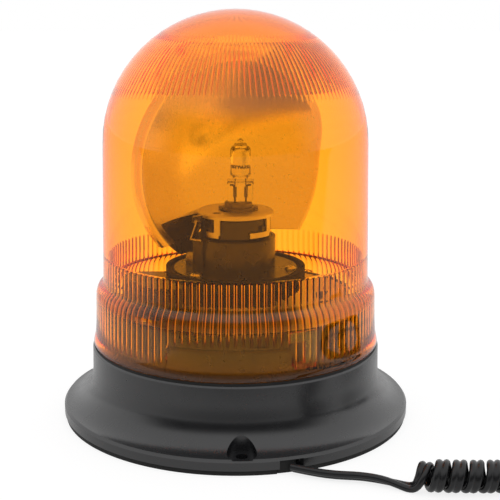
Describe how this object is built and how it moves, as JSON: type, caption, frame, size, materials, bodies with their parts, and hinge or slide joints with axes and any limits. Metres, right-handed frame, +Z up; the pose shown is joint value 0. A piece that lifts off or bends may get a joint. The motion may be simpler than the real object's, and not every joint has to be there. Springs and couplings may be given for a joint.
{
  "type": "rotating beacon",
  "caption": "Amber rotating warning beacon with a twist-lock ribbed lens, gear-driven reflector round a halogen lamp, screw and magnet base, and a curly supply lead with plug.",
  "frame": {"origin": "centre of the base on the surface that it stands on", "axes": "+Z up along the rotor's axis; -Y is the front, where the lens has its plain window; the lead leaves to +X"},
  "size_m": [0.3281, 0.1706, 0.1728],
  "materials": {
    "black_moulding": "satin black moulded plastic",
    "amber_lens": "clear amber moulded lens",
    "black_rubber": "matt black rubber",
    "zinc_steel": "zinc-plated sheet steel",
    "bright_fixings": "plated screws, nuts and clips",
    "spring_steel": "spring steel",
    "ferrite": "dark grey ferrite",
    "black_nylon": "black nylon",
    "white_nylon": "natural nylon",
    "brass": "machined brass",
    "bright_reflector": "bright metallised reflector",
    "lamp_metal": "lamp cap and filament",
    "lamp_glass": "clear quartz glass",
    "fuse_glass": "glass fuse",
    "cord_black": "black twin lead",
    "suppressor_sleeve": "blue sleeve"
  },
  "bodies": {
    "base": {"base_housing": "black_moulding", "base_plate": "zinc_steel", "base_plate_screws": "bright_fixings", "bulb_base": "lamp_metal", "bulb_filament": "lamp_metal", "bulb_glass": "lamp_glass", "bulb_lead": "cord_black", "bulb_socket": "black_moulding", "cable_grommet": "black_rubber", "centre_post": "zinc_steel", "chassis_plate": "zinc_steel", "chassis_screws": "bright_fixings", "coiled_cord": "cord_black", "cord_tail": "cord_black", "foot_gasket": "black_rubber", "gear_cover": "black_moulding", "idler_clip": "bright_fixings", "idler_pin": "spring_steel", "magnet_bolt": "bright_fixings", "magnet_cup": "zinc_steel", "magnet_nut": "bright_fixings", "magnet_pad": "black_rubber", "magnet_ring": "ferrite", "motor_can": "zinc_steel", "motor_end_cap": "black_moulding", "motor_screws": "bright_fixings", "motor_tabs": "brass", "plug_body": "black_moulding", "plug_cap": "black_moulding", "plug_strain_relief": "black_rubber", "plug_tail": "cord_black", "plug_tip_spring": "spring_steel", "post_nut": "bright_fixings", "rotor_clip": "bright_fixings", "socket_screws": "bright_fixings", "supply_lead": "cord_black", "suppressor": "suppressor_sleeve", "terminal_block": "black_moulding", "terminals": "brass", "thrust_washer": "bright_fixings"},
    "rotor": {"turntable": "black_nylon", "rotor_bush": "brass", "rotor_hub": "black_moulding", "reflector_carrier": "black_moulding", "reflector": "bright_reflector", "reflector_clip": "spring_steel", "rotor_screws": "bright_fixings"},
    "idler": {"idler_gear": "white_nylon"},
    "motor_rotor": {"motor_shaft": "spring_steel", "motor_pinion": "brass"},
    "seal_ring": {"lens_seal": "black_rubber"},
    "lens_cover": {"lens": "amber_lens"},
    "clamp": {"bulb_clamp": "zinc_steel"},
    "plug_pin": {"plug_tip": "brass", "plug_fuse": "fuse_glass"},
    "left_contact": {"plug_contact_left": "spring_steel"},
    "right_contact": {"plug_contact_right": "spring_steel"}
  },
  "joints": [
    {"name": "rotor_spin", "type": "hinge", "parent": "base", "child": "rotor", "pos_m": [0, 0, 0.064], "axis": [0, 0, 1], "continuous": true},
    {"name": "idler_spin", "type": "hinge", "parent": "base", "child": "idler", "pos_m": [-0.02654, -0.01858, 0.054], "axis": [0, 0, 1], "continuous": true},
    {"name": "motor_spin", "type": "hinge", "parent": "base", "child": "motor_rotor", "pos_m": [-0.03953, -0.01108, 0.05], "axis": [0, 0, 1], "continuous": true},
    {"name": "lens_twist", "type": "hinge", "parent": "base", "child": "seal_ring", "pos_m": [0, 0, 0.0318], "axis": [0, 0, -1], "range_deg": [0, 14]},
    {"name": "lens_lift", "type": "slide", "parent": "seal_ring", "child": "lens_cover", "axis": [0, 0, 1], "range_m": [0, 0.15]},
    {"name": "clamp_twist", "type": "hinge", "parent": "base", "child": "clamp", "pos_m": [0, 0, 0.0885], "axis": [0, 0, 1], "range_deg": [0, 18]},
    {"name": "plug_tip_press", "type": "slide", "parent": "base", "child": "plug_pin", "axis": [-0.8746, -0.4848, 0], "range_m": [0, 0.0025], "stiffness_N_per_m": 600},
    {"name": "left_contact_press", "type": "slide", "parent": "base", "child": "left_contact", "axis": [0.4848, -0.8746, 0], "range_m": [0, 0.001], "stiffness_N_per_m": 1200},
    {"name": "right_contact_press", "type": "slide", "parent": "base", "child": "right_contact", "axis": [-0.4848, 0.8746, 0], "range_m": [0, 0.001], "stiffness_N_per_m": 1200}
  ],
  "couplings": [
    {"joint": "idler_spin", "follows": "rotor_spin", "ratio": -5},
    {"joint": "motor_spin", "follows": "rotor_spin", "ratio": 20}
  ]
}
